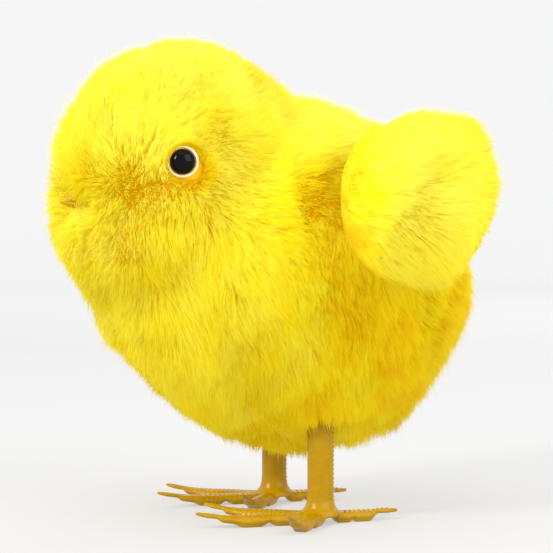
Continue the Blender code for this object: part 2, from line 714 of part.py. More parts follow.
def build_legs():
    pivot = (0.0, *LEG_SHAFT_YZ)
    for name, side in (("left_leg", 1), ("right_leg", -1)):
        leg = part(name, leg_column(side), "amber_plastic", pivot)
        for heading, length, rise in FRONT_TOES:
            add(leg, toe(side, heading, length, rise))
        add(leg, toe(side, REAR_TOE_HEADING, REAR_TOE_LENGTH, front=False))
        low, high = sorted(side * x for x in LEG_HUB_X)
        add(leg, rod(LEG_SHAFT_YZ, LEG_HUB_RADIUS, low, high))
        low, high = sorted((side * 11.0, side * 20.0))
        cut(leg, rod(LEG_SHAFT_YZ, LEG_SHAFT_RADIUS + PRESS_CLEARANCE, low, high))
    part("leg_shaft", rod(LEG_SHAFT_YZ, LEG_SHAFT_RADIUS, *LEG_SHAFT_X), "steel", pivot)


def build_rocker():
    """The lever on the leg shaft whose nose lies under the cam."""
    pivot = (0.0, *LEG_SHAFT_YZ)
    y, z = LEG_SHAFT_YZ
    arm = ((y, z - 1.9), (y, z + 1.9), (y - 4.0, z + 1.3), (y - 10.2, z + 1.2), (y - 10.2, z - 0.3))
    rocker = part("rocker", prism_x(arm, *CAM_X), "nylon", pivot)
    add(rocker, rod(LEG_SHAFT_YZ, 2.9, 3.6, 7.4))
    cut(rocker, rod(LEG_SHAFT_YZ, LEG_SHAFT_RADIUS + PRESS_CLEARANCE, 0.0, 10.0))


def build_return_spring():
    """A torsion spring round the leg shaft: one end under the rocker, the other at the case wall."""
    y, z = LEG_SHAFT_YZ
    wire, coil_radius, turns, steps = 0.25, 2.4, 3, 14
    low, high = 8.0, 9.8
    points = [(5.2, y - 6.2, z - 1.6), (6.9, y - 6.2, z - 1.7), (7.6, y - 5.4, z - 2.1)]
    count = turns * steps
    for i in range(count + 1):
        share = i / count
        angle = -0.5 * math.pi + 2.0 * math.pi * (turns + 0.5) * share
        x = low + (high - low) * share
        points.append((x, y + coil_radius * math.cos(angle), z + coil_radius * math.sin(angle)))
    points += [(high, y + 3.8, z + coil_radius + 0.2), (high, y + 7.6, z + coil_radius + 0.4)]
    curve = bpy.data.curves.new("leg_return_spring", "CURVE")
    curve.dimensions = "3D"
    curve.bevel_depth = wire * MM
    curve.bevel_resolution = 1
    curve.use_fill_caps = True
    spline = curve.splines.new("POLY")
    spline.points.add(len(points) - 1)
    for point, (px, py, pz) in zip(spline.points, points):
        point.co = (px * MM, (py - y) * MM, (pz - z) * MM, 1.0)
    curve.materials.append(bpy.data.materials["steel"])
    spring = bpy.data.objects.new("leg_return_spring", curve)
    spring.location = Vector((0.0, y, z)) * MM
    bpy.context.scene.collection.objects.link(spring)


def main():
    for item in list(bpy.data.objects):
        bpy.data.objects.remove(item)
    for name in MATERIALS:
        make_material(name)
    build_cover()
    build_wings()
    build_eyes()
    build_beak()
    build_shell()
    build_shell_screws()
    build_case()
    build_case_screws()
    build_great_wheel()
    build_ratchet()
    build_click()
    build_second_gear()
    build_cam_gear()
    build_arbor()
    build_mainspring()
    build_knob()
    build_legs()
    build_rocker()
    build_return_spring()


main()
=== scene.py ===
"""The looks of the wind-up hopping chick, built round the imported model.

The bird is worked out in millimetres and stored in metres. The stage, lights and camera are in
metres. The plush is real geometry: tapered ribbons that grow from a backing skin and end near the
shape of the CAD cover. They take their colour from a palette over their own UV map, where u is the
shade of the strand and v runs from root to tip.
"""

import json

import bmesh
import bpy
import numpy as np
from math import cos, pi, radians, sin
from mathutils import Matrix, Vector, kdtree


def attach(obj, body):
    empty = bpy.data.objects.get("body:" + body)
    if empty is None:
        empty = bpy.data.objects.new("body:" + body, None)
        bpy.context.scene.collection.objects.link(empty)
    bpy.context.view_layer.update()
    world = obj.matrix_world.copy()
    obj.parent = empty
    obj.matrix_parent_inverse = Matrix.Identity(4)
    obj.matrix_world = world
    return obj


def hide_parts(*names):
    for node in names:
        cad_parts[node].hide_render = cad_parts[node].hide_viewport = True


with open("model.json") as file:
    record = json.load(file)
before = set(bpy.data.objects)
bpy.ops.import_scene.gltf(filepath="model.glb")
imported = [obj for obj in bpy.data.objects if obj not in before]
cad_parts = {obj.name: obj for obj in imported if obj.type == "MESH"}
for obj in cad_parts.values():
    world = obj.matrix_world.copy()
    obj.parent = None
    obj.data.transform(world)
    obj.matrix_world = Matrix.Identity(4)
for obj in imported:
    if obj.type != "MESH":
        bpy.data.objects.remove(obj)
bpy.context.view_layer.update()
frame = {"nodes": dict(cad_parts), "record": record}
NODES = frame["nodes"]
MM = 0.001

# The plush envelope, as in the CAD: ellipsoids (centre, radii) joined by a soft maximum, in mm.
CORE = np.array((0.0, -6.0, 58.0))
ELLIPSOIDS = (
    (np.array((0.0, 5.0, 48.8)), np.array((34.0, 40.5, 36.2))),
    (np.array((0.0, -18.8, 73.0)), np.array((25.5, 24.4, 25.2))),
    (np.array((0.0, -20.3, 60.5)), np.array((27.5, 24.6, 21.5))),
)
BLEND_POWER = 18.0
BEAK_MIDDLE = np.array((0.0, -39.0, 64.6))
DIMPLE_DEPTH, DIMPLE_WIDTH, DIMPLE_HEIGHT = 6.5, 5.5, 5.0
EYE_MIDDLE = np.array((22.7, -22.5, 71.6))
EYE_TURN = radians(12.0)
EYE_CLEAR = 3.5
WING_MIDDLE = np.array((35.0, 19.4, 64.2))
WING_RADII = np.array((7.4, 18.6, 18.0))
WING_LEAN, WING_SWEEP = radians(13.0), radians(8.0)
WING_COMB_MIDDLE = np.array((0.0, -3.0, 1.5))
PAD_POWER = 3.0
SLOT_X, SLOT_HALF, SLOT_FRONT, SLOT_REAR = 15.0, 3.2, 4.6, 17.2
LEG_Y = 8.0

# Where the pile stands higher or lower than the envelope: (middle, radius, millimetres).
# A middle's x is its distance from the mid-plane, on both sides, and a spot is twice as wide along x.
PILE_CHANGES = (
    ((0.0, -22.0, 98.0), 16.0, -1.3),
    ((0.0, 1.0, 89.0), 9.0, 3.4),
    ((0.0, 14.0, 86.0), 13.0, 1.2),
    ((0.0, -34.0, 86.0), 9.0, -0.8),
    ((9.0, -42.0, 64.0), 7.0, 1.0),
    ((8.0, -36.0, 41.0), 8.0, 1.4),
    ((0.0, -16.0, 17.0), 9.0, -1.5),
    ((0.0, 39.0, 33.0), 9.0, -1.4),
    ((0.0, -40.0, 52.0), 10.0, -2.0),
    ((0.0, -26.0, 27.0), 12.0, -1.8),
    ((0.0, 28.0, 22.0), 14.0, 3.2),
    ((0.0, 8.0, 12.0), 12.0, 1.2),
    ((0.0, 43.0, 48.0), 10.0, 0.4),
)
# Painted shade and painted light on the pile: (middle, radius, change of shade). The darker spots are
# painted shade in the neck crease, under the wings, low on the belly and under the tail; the lighter ones
# are painted light on the top of the head and the back.
PAINTED_LIGHT_AND_SHADE_SPOTS = (
    ((28.0, 1.0, 62.0), 10.0, -0.36),
    ((31.0, 12.0, 42.0), 11.0, -0.34),
    ((27.0, 6.0, 24.0), 9.0, -0.22),
    ((24.0, 38.0, 44.0), 15.0, -0.30),
    ((26.0, 28.0, 29.0), 14.0, -0.20),
    ((14.0, -24.0, 86.0), 20.0, 0.12),
    ((10.0, 18.0, 84.0), 16.0, 0.20),
)
BEAK_GROOVE_DEPTH, BEAK_GROOVE_HALF, BEAK_GROOVE_REACH = 8.5, 3.5, 12.5
BEAK_GROOVE_RIGHT_SHARE = 0.25
# A point before the face, which the pile of the head is brushed away from.
COMB_START = np.array((0.0, -62.0, 60.0))
BEAK_CLEAR = 2.7

# How deep the backing lies under the tips of the body, and the radii of the wings' backing.
SKIN_DEPTH = 5.2
WING_SKIN = np.array((3.2, 13.4, 13.0))
PILE_LEVELS = np.array((0.0, 0.3, 0.62, 1.0))
STRAND_TAPER = np.array((0.8, 1.0, 0.72))
LONGEST_STRAND = 11.0
MOST_STRANDS = 28000
BODY_STRANDS, BODY_DENSITY = 340000, 17.0
WING_STRANDS, WING_DENSITY = 44000, 22.0
TUFT_SPACING, LOCK_SPACING = 3.8, 1.5
WING_TUFT_SPACING, WING_LOCK_SPACING = 3.6, 1.4
UNDER_WING_DEPTH, UNDER_WING_RADIUS = 9.0, 6.0


# ------------------------------------------------------------------ helpers


def unit(vectors):
    return vectors / np.maximum(np.linalg.norm(vectors, axis=-1, keepdims=True), 1e-9)


def dots(a, b):
    return np.sum(a * b, axis=-1, keepdims=True)


def ease(low, high, value):
    """0 below low, 1 above high, smooth between them."""
    share = np.clip((value - low) / (high - low), 0.0, 1.0)
    return share * share * (3.0 - 2.0 * share)


def link(obj):
    bpy.context.scene.collection.objects.link(obj)
    return obj


def piece(name, mesh, material, body, replaces=()):
    obj = link(bpy.data.objects.new(name, mesh))
    if not mesh.materials:
        mesh.materials.append(material)
    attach(obj, body)
    if replaces:
        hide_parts(*replaces)
    return obj


def mesh_of(name, points, faces, smooth=True):
    mesh = bpy.data.meshes.new(name)
    mesh.from_pydata([tuple(p) for p in points], [], [tuple(f) for f in faces])
    mesh.update()
    if smooth:
        mesh.shade_smooth()
    return mesh


def wave_field(seed, scale, count=5):
    """A smooth field of vectors, about 1 long, that varies over that many millimetres."""
    rng = np.random.default_rng(seed)
    waves = rng.normal(size=(3, count, 3)) * (2.0 / scale)
    phases = rng.uniform(0.0, 2.0 * pi, size=(3, count))

    def field(points):
        return np.stack(
            [np.sin(points @ waves[k].T + phases[k]).sum(1) * (0.7 / count**0.5) * 2.0 for k in range(3)],
            axis=1,
        )

    return field


# ------------------------------------------------------------------ plush envelope


def reach_of(directions):
    """How far the envelope lies from CORE along each direction."""
    total = 0.0
    for centre, radii in ELLIPSOIDS:
        start, step = (CORE - centre) / radii, directions / radii
        a, b, c = np.sum(step * step, 1), step @ start, start @ start - 1.0
        total = total + ((-b + np.sqrt(b * b - a * c)) / a) ** BLEND_POWER
    return total ** (1.0 / BLEND_POWER)


def dimple_of(points):
    across = points[:, 0] / DIMPLE_WIDTH
    up = (points[:, 2] - BEAK_MIDDLE[2]) / DIMPLE_HEIGHT
    return DIMPLE_DEPTH * np.exp(-across**2 - up**2) * (points[:, 1] < CORE[1])


def ring_quads(ring, segments):
    """The faces between a ring of points and the next one."""
    start, after = ring * segments, (ring + 1) * segments
    following = [(j + 1) % segments for j in range(segments)]
    return [(start + j, after + j, after + k, start + k) for j, k in enumerate(following)]


def envelope_grid(rings, segments, depth):
    """Points of a closed surface that lies this deep inside the tips, and its faces."""
    tilt = pi * (np.arange(1, rings) / rings)
    turn = 2.0 * pi * np.arange(segments) / segments
    flat = np.sin(tilt)[:, None]
    heights = np.broadcast_to(np.cos(tilt)[:, None], (rings - 1, segments))
    directions = np.stack((flat * np.cos(turn), flat * np.sin(turn), heights), axis=2)
    directions = np.concatenate((directions.reshape(-1, 3), ((0, 0, 1), (0, 0, -1))))
    points = CORE + directions * reach_of(directions)[:, None]
    hollow = dimple_of(points) + 0.6 * beak_groove(points)
    points = points - directions * (depth + hollow)[:, None]
    faces = []
    top, bottom = len(points) - 2, len(points) - 1
    for i in range(rings - 2):
        faces += ring_quads(i, segments)
    last = (rings - 2) * segments
    for j in range(segments):
        k = (j + 1) % segments
        faces.append((top, j, k))
        faces.append((bottom, last + k, last + j))
    return points, faces


def sample_surface(points, faces, count, rng):
    """Random places on a surface, with smooth normals that face away from its middle."""
    triangles = []
    for face in faces:
        triangles.append(face[:3])
        if len(face) == 4:
            triangles.append((face[0], face[2], face[3]))
    triangles = np.array(triangles)
    a, b, c = (points[triangles[:, k]] for k in range(3))
    crosses = np.cross(b - a, c - a)
    areas = np.linalg.norm(crosses, axis=1)
    normals = np.zeros_like(points)
    for k in range(3):
        np.add.at(normals, triangles[:, k], crosses)
    normals = unit(normals)
    if np.sum(normals * (points - points.mean(0))) < 0.0:
        normals = -normals
    picked = rng.choice(len(triangles), count, p=areas / areas.sum())
    u, v = rng.random(count), rng.random(count)
    over = u + v > 1.0
    u[over], v[over] = 1.0 - u[over], 1.0 - v[over]
    weights = np.stack((1.0 - u - v, u, v), axis=1)[:, :, None]
    corners = triangles[picked]
    return (points[corners] * weights).sum(1), unit((normals[corners] * weights).sum(1))


# ------------------------------------------------------------------ strands


def nearest_clump(points, centres):
    tree = kdtree.KDTree(len(centres))
    for i, centre in enumerate(centres):
        tree.insert(centre, i)
    tree.balance()
    return np.array([tree.find(point)[1] for point in points])


def clumped(roots, tips, density, spacing, pull, rng):
    """Pulls tips towards the tip of one strand in each tuft, and returns the tuft of each strand."""
    count = max(4, int(len(roots) / (density * spacing * spacing)))
    leaders = rng.choice(len(roots), count, replace=False)
    tuft = nearest_clump(roots, roots[leaders])
    strength = pull * rng.uniform(0.55, 1.0, size=(len(roots), 1))
    return tips + (tips[leaders][tuft] - tips) * strength, tuft


def strand_mesh(name, roots, middles, tips, facing, widths, shades, rng):
    """Tapered ribbons along a bent path, with the palette UV."""
    count, levels = len(roots), len(PILE_LEVELS)
    t = PILE_LEVELS[None, :, None]
    path = (
        roots[:, None] * (1 - t) ** 2 + 2 * middles[:, None] * t * (1 - t) + tips[:, None] * t * t
    )
    along = unit(np.gradient(path, axis=1))
    side = unit(np.cross(along, facing[:, None]))
    lift = np.cross(side, along)
    roll = rng.uniform(-0.9, 0.9, size=(count, 1, 1))
    side = side * np.cos(roll) + lift * np.sin(roll)
    half = 0.5 * widths[:, None, None] * STRAND_TAPER[None, :, None]
    left, right = path[:, :-1] - side[:, :-1] * half, path[:, :-1] + side[:, :-1] * half
    body = np.stack((left, right), axis=2).reshape(count, -1, 3)
    points = np.concatenate((body, path[:, -1:]), axis=1)
    per = points.shape[1]

    quads = np.array([(2 * k, 2 * k + 1, 2 * k + 3, 2 * k + 2) for k in range(levels - 2)])
    tip = np.array((per - 3, per - 2, per - 1))
    offset = (np.arange(count) * per)[:, None]
    loops = np.concatenate(((quads.reshape(-1)[None] + offset), tip[None] + offset), axis=1)
    sizes = np.tile(np.array([4] * len(quads) + [3]), count)
    starts = np.concatenate(((0,), np.cumsum(sizes)[:-1]))

    mesh = bpy.data.meshes.new(name)
    mesh.vertices.add(count * per)
    mesh.vertices.foreach_set("co", (points * MM).astype(np.float32).ravel())
    mesh.loops.add(loops.size)
    mesh.loops.foreach_set("vertex_index", loops.astype(np.int32).ravel())
    mesh.polygons.add(len(sizes))
    mesh.polygons.foreach_set("loop_start", starts.astype(np.int32))
    mesh.update(calc_edges=True)
    mesh.validate()
    level_of = np.concatenate((np.repeat(PILE_LEVELS[:-1], 2), (1.0,)))
    v = np.tile(level_of, (count, 1))
    u = np.repeat(shades[:, None], per, axis=1)
    coords = np.stack((0.02 + 0.96 * u, 0.02 + 0.96 * v), axis=2).reshape(-1, 2)
    layer = mesh.uv_layers.new(name="OFBake")
    layer.data.foreach_set("uv", coords[loops.ravel()].astype(np.float32).ravel())
    mesh.shade_smooth()
    soft = unit(facing + 0.5 * unit(tips - roots))
    mesh.normals_split_custom_set_from_vertices(np.repeat(soft, per, axis=0))
    return mesh


def body_comb(points, normals):
    """Which way the pile lies: away from COMB_START on the head, rearwards and down behind it."""
    away = unit(points - COMB_START)
    head = ease(54.0, 76.0, points[:, 2:3]) * ease(8.0, -6.0, points[:, 1:2])
    rear = np.concatenate(
        (
            0.25 * points[:, :1] / 30.0,
            0.25 + 0.75 * ease(0.1, 0.9, normals[:, 2:3]),
            -1.0 + 0.5 * ease(0.1, 0.9, normals[:, 2:3]),
        ),
        axis=1,
    )
    comb = away * head + unit(rear) * (1.0 - head)
    comb = comb + 0.2 * BODY_SWIRL(points) + 0.17 * FINE_SWIRL(points)
    return comb - normals * dots(comb, normals)


BODY_SWIRL, FINE_SWIRL = wave_field(11, 13.0), wave_field(12, 5.5)
LENGTH_FIELD, SHADE_FIELD = wave_field(13, 9.0), wave_field(14, 12.0)


def spots(points, table):
    """The sum of the soft spots of a table, the same on both sides of the bird."""
    total = np.zeros(len(points))
    for middle, radius, amount in table:
        offset = points * np.array((0.0, 1.0, 1.0)) - middle
        offset[:, 0] = 0.5 * (np.abs(points[:, 0]) - middle[0])
        total += amount * np.exp(-np.sum(offset * offset, axis=1) / radius**2)
    return total


def beak_groove(points):
    """How far the pile parts beside the beak. It is brushed open more on the left."""
    up = (points[:, 2] - BEAK_MIDDLE[2]) / BEAK_GROOVE_HALF
    reach = np.where(points[:, 0] > 0.0, BEAK_GROOVE_REACH, BEAK_GROOVE_RIGHT_SHARE * BEAK_GROOVE_REACH)
    across = points[:, 0] / reach
    front = ease(-30.0, -35.0, points[:, 1])
    return BEAK_GROOVE_DEPTH * np.exp(-up**4 - across**4) * front


def eye_distance(points):
    folded = np.abs(points[:, :1])
    return np.linalg.norm(np.concatenate((folded, points[:, 1:]), axis=1) - EYE_MIDDLE, axis=1)


def across_eye(points):
    """Each point's offset from the axis of the eye on its side, folded onto the left."""
    axis = np.array((cos(EYE_TURN), -sin(EYE_TURN), 0.0))
    folded = points.copy()
    folded[:, 0] = np.abs(folded[:, 0])
    offset = folded - EYE_MIDDLE
    return offset - dots(offset, axis) * axis


def clear_eyes(points, places):
    """Moves strand points that would lie over an eye back to the strand's own side of it."""
    across, start = across_eye(points), across_eye(places)
    outward = unit(start)
    reach = dots(across, outward)
    beside = np.linalg.norm(across - outward * reach, axis=1, keepdims=True)
    close = np.linalg.norm(start, axis=1, keepdims=True) < 12.0
    over = close & (beside < EYE_CLEAR) & (reach < EYE_CLEAR) & (points[:, 1:2] < 0.0)
    shift = outward * np.where(over, EYE_CLEAR - reach, 0.0)
    shift[:, 0] *= np.sign(points[:, 0])
    return points + shift


def beak_distance(points):
    offset = (points - BEAK_MIDDLE)[:, (0, 2)]
    return np.where(points[:, 1] < -20.0, np.linalg.norm(offset, axis=1), 99.0)


def in_slot(points, margin):
    """Whether a point lies over the openings that the legs swing in."""
    across = np.abs(np.abs(points[:, 0]) - SLOT_X)
    along = np.clip(points[:, 1], SLOT_FRONT + SLOT_HALF, SLOT_REAR - SLOT_HALF)
    distance = np.hypot(across, points[:, 1] - along)
    return (distance < SLOT_HALF + margin) & (points[:, 2] < 40.0)


def wing_matrix(side):
    """Turns a wing's own frame, whose x is across the pad, into the bird's frame."""
    turn = Matrix.Rotation(-WING_SWEEP, 4, "Z") @ Matrix.Rotation(-WING_LEAN, 4, "Y")
    turn = np.array(turn.to_3x3())
    if side < 0:
        turn = np.diag((-1.0, 1.0, 1.0)) @ turn
    middle = WING_MIDDLE * np.array((side, 1.0, 1.0))
    return turn, middle


def grow_body(count):
    """The strands of the body: root, middle and tip, with the facing, width and shade of each."""
    rng = np.random.default_rng(3)
    points, faces = envelope_grid(90, 140, 0.0)
    places, normals = sample_surface(points, faces, count, rng)
    rays = unit(places - CORE)
    roots = places - rays * SKIN_DEPTH
    eye, beak = eye_distance(places), beak_distance(places)
    keep = (eye > EYE_CLEAR) & (beak > BEAK_CLEAR) & ~in_slot(roots, 0.4)
    keep &= wing_shadow_keep(places)
    places, normals, roots = places[keep], normals[keep], roots[keep]
    eye, beak = eye[keep], beak[keep]

    comb = body_comb(places, normals)
    near_eye = ease(7.0, EYE_CLEAR, eye)[:, None]
    folded = places.copy()
    folded[:, 0] = np.abs(folded[:, 0])
    from_eye = folded - EYE_MIDDLE
    from_eye[:, 0] *= np.sign(places[:, 0])
    comb = comb * (1.0 - 0.6 * near_eye) + unit(from_eye) * near_eye * 0.6
    near_beak = ease(7.0, BEAK_CLEAR, beak)[:, None]
    from_beak = (places - BEAK_MIDDLE) * np.array((1.0, 0.0, 1.0))
    comb = comb * (1.0 - near_beak) + unit(from_beak) * near_beak * 0.4

    lengths = LENGTH_FIELD(places)[:, 0]
    low = 0.9 * lengths + rng.normal(0.0, 0.6, len(places))
    low = np.minimum(low, 1.0) - 1.5
    wisp = rng.random(len(places)) < 0.08
    low = low + wisp * rng.uniform(0.6, 2.4, len(places))
    low = low * (1.0 - 0.7 * near_eye[:, 0]) - 1.4 * near_eye[:, 0] - 1.4 * near_beak[:, 0]
    low = low + spots(places, PILE_CHANGES) - 0.4 * beak_groove(places)
    direction = unit(normals + comb * 0.8)
    grow = (SKIN_DEPTH + low)[:, None] / np.maximum(dots(direction, normals), 0.5)
    tips = roots + direction * np.minimum(grow, LONGEST_STRAND)
    middles = roots + normals * grow * 0.42 + comb * 0.4
    tips, tuft = clumped(roots, tips, BODY_DENSITY, TUFT_SPACING, 0.2, rng)
    tips, lock = clumped(roots, tips, BODY_DENSITY, LOCK_SPACING, 0.34, rng)
    tips = clear_eyes(tips + rng.normal(0.0, 0.35, tips.shape), places)
    middles = clear_eyes(middles, places)

    shade = 0.66 + 0.06 * SHADE_FIELD(places)[:, 0] + rng.normal(0.0, 0.07, len(places))
    shade += (rng.random(tuft.max() + 1)[tuft] - 0.5) * 0.1
    shade += (rng.random(lock.max() + 1)[lock] - 0.5) * 0.16
    # Painted shade in the creases and under the wings, painted light on the top of the head and back.
    # Painted shade round each eye, where the pile dips into a hollow.
    shade += spots(places, PAINTED_LIGHT_AND_SHADE_SPOTS) - 0.6 * ease(6.5, EYE_CLEAR, eye)
    # Painted light on pile that faces up, painted shade on pile that faces down.
    shade += 0.10 * ease(0.2, 0.9, normals[:, 2]) - 0.10 * ease(-0.3, -0.9, normals[:, 2])
    widths = rng.uniform(0.15, 0.27, len(places)) * np.where(wisp, 0.6, 1.0)
    return places, roots, middles, tips, normals, widths, np.clip(shade, 0.0, 1.0), rng


def wing_shadow_keep(places):
    """Which strands aren't right under the middle of a wing pad, where they couldn't be seen."""
    keep = np.ones(len(places), bool)
    for side in (1, -1):
        turn, middle = wing_matrix(side)
        local = (places - middle) @ turn
        beside = np.sum((local[:, 1:] / UNDER_WING_RADIUS) ** 2, axis=1) > 1.0
        keep &= (np.abs(local[:, 0]) > UNDER_WING_DEPTH) | beside
    return keep


def grow_wing(side, count):
    """The strands of one wing pad, combed back from its front edge, in the bird's frame."""
    rng = np.random.default_rng(21 if side > 0 else 22)
    sphere = unit(rng.normal(size=(3 * count, 3)))
    # The pad's faces are wider than its rim, so they take more strands.
    spread = np.linalg.norm(sphere / WING_RADII, axis=1)
    sphere = sphere[rng.choice(len(sphere), count, replace=False, p=spread / spread.sum())]
    # A pad is squarer than an ellipsoid in its own plane.
    plane = np.maximum(np.linalg.norm(sphere[:, 1:], axis=1), 1e-6)
    square = plane / np.sum(np.abs(sphere[:, 1:]) ** PAD_POWER, axis=1) ** (1.0 / PAD_POWER)
    square = 0.5 + 0.5 * square
    places = sphere * WING_RADII
    places[:, 1:] *= (0.93 * square)[:, None]
    normals = unit(sphere / WING_RADII)
    skin = sphere * WING_SKIN
    skin[:, 1:] *= square[:, None]
    comb = places - WING_COMB_MIDDLE
    comb = comb - normals * dots(comb, normals)
    swirl = wave_field(31 + side, 8.0)(places)
    comb = unit(comb) * np.minimum(1.0, (np.linalg.norm(comb, axis=1, keepdims=True) / 16.0) ** 2)
    comb[:, 1] = np.maximum(comb[:, 1], -0.1) + 0.4 + 0.75 * ease(2.0, -10.0, places[:, 1])
    comb = comb + 0.2 * swirl
    depth = np.linalg.norm(places - skin, axis=1)
    direction = unit(unit(places - skin) * 0.75 + comb * 0.9)
    low = np.minimum(0.7 * swirl[:, 1] + rng.normal(0.0, 0.6, count), 1.2)
    wisp = rng.random(count) < 0.07
    low = low + wisp * rng.uniform(0.5, 1.8, count)
    corner = places[:, 1] * places[:, 2] / 150.0
    low = low + 2.0 * np.clip(corner, -1.0, 1.0) * ease(2.0, 9.0, places[:, 1])
    low = low - 1.6 * ease(6.0, 14.0, places[:, 1])
    tips = skin + direction * (depth + 0.6 + low)[:, None] / np.maximum(dots(direction, normals), 0.8)
    middles = skin + unit(places - skin) * depth[:, None] * 0.45
    tips, tuft = clumped(skin, tips, WING_DENSITY, WING_TUFT_SPACING, 0.18, rng)
    tips, lock = clumped(skin, tips, WING_DENSITY, WING_LOCK_SPACING, 0.34, rng)
    tips = tips + rng.normal(0.0, 0.3, tips.shape)
    shade = 0.78 + rng.normal(0.0, 0.07, count)
    # Painted light: the middle of the pad is lighter, against the shade down among its strands.
    shade += 0.15 * ease(14.0, 4.0, np.linalg.norm(places[:, 1:], axis=1))
    shade += (rng.random(tuft.max() + 1)[tuft] - 0.5) * 0.14
    shade += (rng.random(lock.max() + 1)[lock] - 0.5) * 0.16
    # Painted shade along the front edge of the pad, where it meets the body.
    shade -= 0.25 * ease(6.0, 0.0, np.abs(places[:, 1] + 14.0))
    widths = rng.uniform(0.15, 0.28, count) * np.where(wisp, 0.6, 1.0)

    turn, middle = wing_matrix(side)
    places, skin, middles, tips = (p @ turn.T + middle for p in (places, skin, middles, tips))
    normals = normals @ turn.T
    rays = skin - CORE
    keep = np.linalg.norm(rays, axis=1) >= reach_of(unit(rays)) - 4.5
    packs = (places, skin, middles, tips, normals, widths, np.clip(shade, 0.0, 1.0))
    return (*(p[keep] for p in packs), rng)


def split_pieces(label, grown, region, material, replaces):
    """Strand pieces by region, each small enough to handle. The first stands for the CAD nodes."""
    places, roots, middles, tips, normals, widths, shades, rng = grown
    made = []
    for name in sorted(set(region)):
        rows = np.flatnonzero(region == name)
        for part, start in enumerate(range(0, len(rows), MOST_STRANDS), 1):
            take = rows[start : start + MOST_STRANDS]
            title = f"{label}_{name}_{part}"
            mesh = strand_mesh(
                title, roots[take], middles[take], tips[take], normals[take], widths[take],
                shades[take], rng,
            )
            made.append(piece(title, mesh, material, "body", () if made else replaces))
    return made


# ------------------------------------------------------------------ materials


def new_material(name, **sockets):
    material = bpy.data.materials.new(name)
    material.use_nodes = True
    shader = material.node_tree.nodes["Principled BSDF"]
    for key, value in sockets.items():
        shader.inputs[key.replace("_", " ")].default_value = value
    return material, material.node_tree, shader


def add_node(tree, kind, **values):
    node = tree.nodes.new(kind)
    for key, value in values.items():
        setattr(node, key, value)
    return node


def ramp_of(tree, stops):
    node = tree.nodes.new("ShaderNodeValToRGB")
    ramp = node.color_ramp
    while len(ramp.elements) < len(stops):
        ramp.elements.new(0.5)
    for element, (place, colour) in zip(ramp.elements, stops):
        element.position = place
        element.color = (*colour, 1.0)
    return node


# The pile from its deepest shade to its lightest. The roots are a deeper orange than the tips: painted
# shade down among the strands.
ROOT_COLOURS = ((0.0, (0.80, 0.36, 0.003)), (0.5, (0.90, 0.68, 0.006)), (1.0, (0.90, 0.84, 0.02)))
TIP_COLOURS = ((0.0, (0.82, 0.42, 0.002)), (0.45, (0.88, 0.84, 0.008)), (1.0, (0.90, 0.92, 0.14)))
THROUGH_LIGHT = 0.42


def fur_material(name):
    """Yellow pile: shade across the palette, root to tip up it, some light through the strands, and a
    painted orange glow.
    """
    material, tree, shader = new_material(name, Roughness=0.8)
    # Painted light: an orange glow that lifts the shade between the strands.
    shader.inputs["Emission Color"].default_value = (1.0, 0.60, 0.0, 1.0)
    shader.inputs["Emission Strength"].default_value = 0.34
    shader.inputs["Specular IOR Level"].default_value = 0.1
    shader.inputs["Sheen Weight"].default_value = 0.05
    shader.inputs["Sheen Roughness"].default_value = 0.5
    shader.inputs["Sheen Tint"].default_value = (1.0, 0.95, 0.5, 1.0)
    uv = add_node(tree, "ShaderNodeUVMap", uv_map="OFBake")
    split = add_node(tree, "ShaderNodeSeparateXYZ")
    tree.links.new(uv.outputs[0], split.inputs[0])
    root = ramp_of(tree, ROOT_COLOURS)
    tip = ramp_of(tree, TIP_COLOURS)
    share = ramp_of(tree, ((0.0, (0.0, 0.0, 0.0)), (0.65, (1.0, 1.0, 1.0))))
    mix = add_node(tree, "ShaderNodeMix", data_type="RGBA")
    tree.links.new(split.outputs[0], root.inputs[0])
    tree.links.new(split.outputs[0], tip.inputs[0])
    tree.links.new(split.outputs[1], share.inputs[0])
    tree.links.new(share.outputs[0], mix.inputs["Factor"])
    tree.links.new(root.outputs[0], mix.inputs[6])
    tree.links.new(tip.outputs[0], mix.inputs[7])
    tree.links.new(mix.outputs[2], shader.inputs["Base Color"])
    glow = add_node(tree, "ShaderNodeBsdfTranslucent")
    tree.links.new(mix.outputs[2], glow.inputs["Color"])
    both = add_node(tree, "ShaderNodeMixShader")
    both.inputs[0].default_value = THROUGH_LIGHT
    tree.links.new(shader.outputs[0], both.inputs[1])
    tree.links.new(glow.outputs[0], both.inputs[2])
    tree.links.new(both.outputs[0], tree.nodes["Material Output"].inputs["Surface"])
    return material


def mottled(name, dark, light, scale, roughness, bump=0.2, bump_scale=None, distance=0.0001, **extra):
    """A material with noise in its surface, and in its colour when a light colour is given."""
    material, tree, shader = new_material(name, Roughness=roughness, **extra)
    place = add_node(tree, "ShaderNodeTexCoord")
    noise = add_node(tree, "ShaderNodeTexNoise")
    noise.inputs["Scale"].default_value = scale
    noise.inputs["Detail"].default_value = 4.0
    tree.links.new(place.outputs["Object"], noise.inputs["Vector"])
    if light is None:
        shader.inputs["Base Color"].default_value = (*dark, 1.0)
    else:
        ramp = ramp_of(tree, ((0.3, dark), (0.7, light)))
        tree.links.new(noise.outputs["Fac"], ramp.inputs[0])
        tree.links.new(ramp.outputs[0], shader.inputs["Base Color"])
    grain = add_node(tree, "ShaderNodeTexNoise")
    grain.inputs["Scale"].default_value = bump_scale or scale * 6.0
    tree.links.new(place.outputs["Object"], grain.inputs["Vector"])
    relief = add_node(tree, "ShaderNodeBump")
    relief.inputs["Strength"].default_value = bump
    relief.inputs["Distance"].default_value = distance
    tree.links.new(grain.outputs["Fac"], relief.inputs["Height"])
    tree.links.new(relief.outputs[0], shader.inputs["Normal"])
    return material


